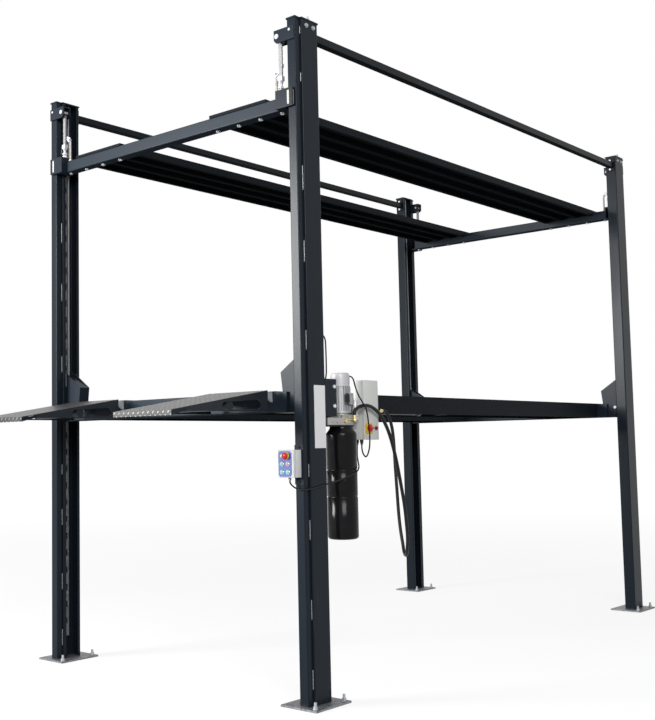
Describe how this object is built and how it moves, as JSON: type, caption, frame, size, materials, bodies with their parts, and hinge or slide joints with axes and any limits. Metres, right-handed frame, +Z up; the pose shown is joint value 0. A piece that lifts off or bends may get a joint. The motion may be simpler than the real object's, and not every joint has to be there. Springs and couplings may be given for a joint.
{
  "type": "triple stacker parking lift",
  "caption": "Triple stacker parking lift: posts, two runway platforms that travel up and down, fold-up ramps and a hydraulic power unit.",
  "frame": {"origin": "on the floor, under the middle of the overall box", "axes": "+Z up; +Y along the runways, from the entry end with the ramps (-Y) to the rear; +X to the right seen from the entry, where the power unit is"},
  "size_m": [2.507, 5.452, 4.026],
  "materials": {
    "frame_paint": "semi-gloss slate powder coat",
    "deck_paint": "semi-gloss powder coat over tread sheet",
    "ramp_deck": "slate paint on the sides, worn bright tread sheet on top",
    "galvanised_steel": "dull hot-dip galvanised with rusty edges",
    "zinc_hardware": "bright zinc plating",
    "rope_steel": "bright drawn wire",
    "nylon_pad": "milky nylon",
    "cylinder_black": "satin black",
    "tank_black": "gloss black",
    "cast_aluminium": "bead-blasted casting",
    "motor_aluminium": "finned casting, satin",
    "cowl_steel": "pressed silver sheet",
    "brass_fitting": "machined",
    "cabinet_grey": "light grey fine texture",
    "box_grey": "light grey",
    "panel_blue": "blue foil",
    "button_red": "gloss red",
    "button_green": "gloss green",
    "lamp_red": "dark red lens on a yellow plate",
    "black_plastic": "black",
    "black_rubber": "black sheath",
    "plate_white": "blank white foil"
  },
  "bodies": {
    "frame": {"post_front_left": "frame_paint", "post_front_right": "frame_paint", "post_rear_left": "frame_paint", "post_rear_right": "frame_paint", "post_caps": "frame_paint", "base_plates": "galvanised_steel", "anchor_studs": "zinc_hardware", "tie_bars": "frame_paint", "tie_bolts": "zinc_hardware", "ladder_bars": "galvanised_steel", "ladder_nuts": "zinc_hardware", "hanger_brackets": "frame_paint", "hanger_pins": "zinc_hardware", "upper_chains": "rope_steel", "lower_ropes": "rope_steel", "pump_bracket": "frame_paint", "oil_tank": "tank_black", "valve_block": "cast_aluminium", "pump_fitting": "brass_fitting", "pump_motor": "motor_aluminium", "fan_cowl": "cowl_steel", "capacitor": "zinc_hardware", "cabinet": "cabinet_grey", "cabinet_cover": "cabinet_grey", "signal_lamp": "lamp_red", "cable_glands": "black_plastic", "button_box": "box_grey", "button_panel": "panel_blue", "box_bracket": "frame_paint", "blank_plate": "plate_white", "hydraulic_hose": "black_rubber", "motor_cable": "black_rubber", "control_cable": "black_rubber"},
    "upper_platform": {"upper_front_beam": "frame_paint", "upper_rear_beam": "frame_paint", "upper_left_runway": "deck_paint", "upper_right_runway": "deck_paint", "upper_shoes": "frame_paint", "upper_pads": "nylon_pad", "chain_anchors": "zinc_hardware", "latch_levers": "zinc_hardware"},
    "lower_platform": {"lower_front_beam": "frame_paint", "lower_rear_beam": "frame_paint", "lower_left_runway": "deck_paint", "lower_right_runway": "deck_paint", "lower_carriages": "frame_paint", "lower_pads": "nylon_pad", "rope_sheaves": "zinc_hardware", "lift_cylinder": "cylinder_black", "runway_fitting": "brass_fitting", "ramp_hinge_pins": "zinc_hardware", "rope_runs": "rope_steel"},
    "left_ramp": {"ramp_left": "ramp_deck"},
    "right_ramp": {"ramp_right": "ramp_deck"},
    "switch": {"mains_switch": "button_red"},
    "stop": {"stop_button": "button_red"},
    "raise": {"button_raise": "button_green"},
    "lower": {"button_lower": "button_red"},
    "lock": {"button_lock": "button_green"},
    "unlock": {"button_unlock": "button_green"}
  },
  "joints": [
    {"name": "lower_lift", "type": "slide", "parent": "frame", "child": "lower_platform", "axis": [0, 0, 1], "range_m": [-1.64, 0], "deforming": ["lower_ropes"]},
    {"name": "upper_lift", "type": "slide", "parent": "frame", "child": "upper_platform", "axis": [0, 0, 1], "range_m": [-1.39, 0], "deforming": ["upper_chains"]},
    {"name": "left_ramp_hinge", "type": "hinge", "parent": "lower_platform", "child": "left_ramp", "pos_m": [-0.6675, -1.945, 1.779], "axis": [-1, 0, 0], "range_deg": [0, 90]},
    {"name": "right_ramp_hinge", "type": "hinge", "parent": "lower_platform", "child": "right_ramp", "pos_m": [0.6675, -1.945, 1.779], "axis": [-1, 0, 0], "range_deg": [0, 90]},
    {"name": "mains_switch_turn", "type": "hinge", "parent": "frame", "child": "switch", "pos_m": [1.195, -1.349, 1.57], "axis": [1, 0, 0], "range_deg": [0, 90]},
    {"name": "stop_button_press", "type": "slide", "parent": "frame", "child": "stop", "axis": [0, 1, 0], "range_m": [0, 0.004], "stiffness_N_per_m": 400},
    {"name": "raise_button_press", "type": "slide", "parent": "frame", "child": "raise", "axis": [0, 1, 0], "range_m": [0, 0.004], "stiffness_N_per_m": 400},
    {"name": "lower_button_press", "type": "slide", "parent": "frame", "child": "lower", "axis": [0, 1, 0], "range_m": [0, 0.004], "stiffness_N_per_m": 400},
    {"name": "lock_button_press", "type": "slide", "parent": "frame", "child": "lock", "axis": [0, 1, 0], "range_m": [0, 0.004], "stiffness_N_per_m": 400},
    {"name": "unlock_button_press", "type": "slide", "parent": "frame", "child": "unlock", "axis": [0, 1, 0], "range_m": [0, 0.004], "stiffness_N_per_m": 400}
  ]
}
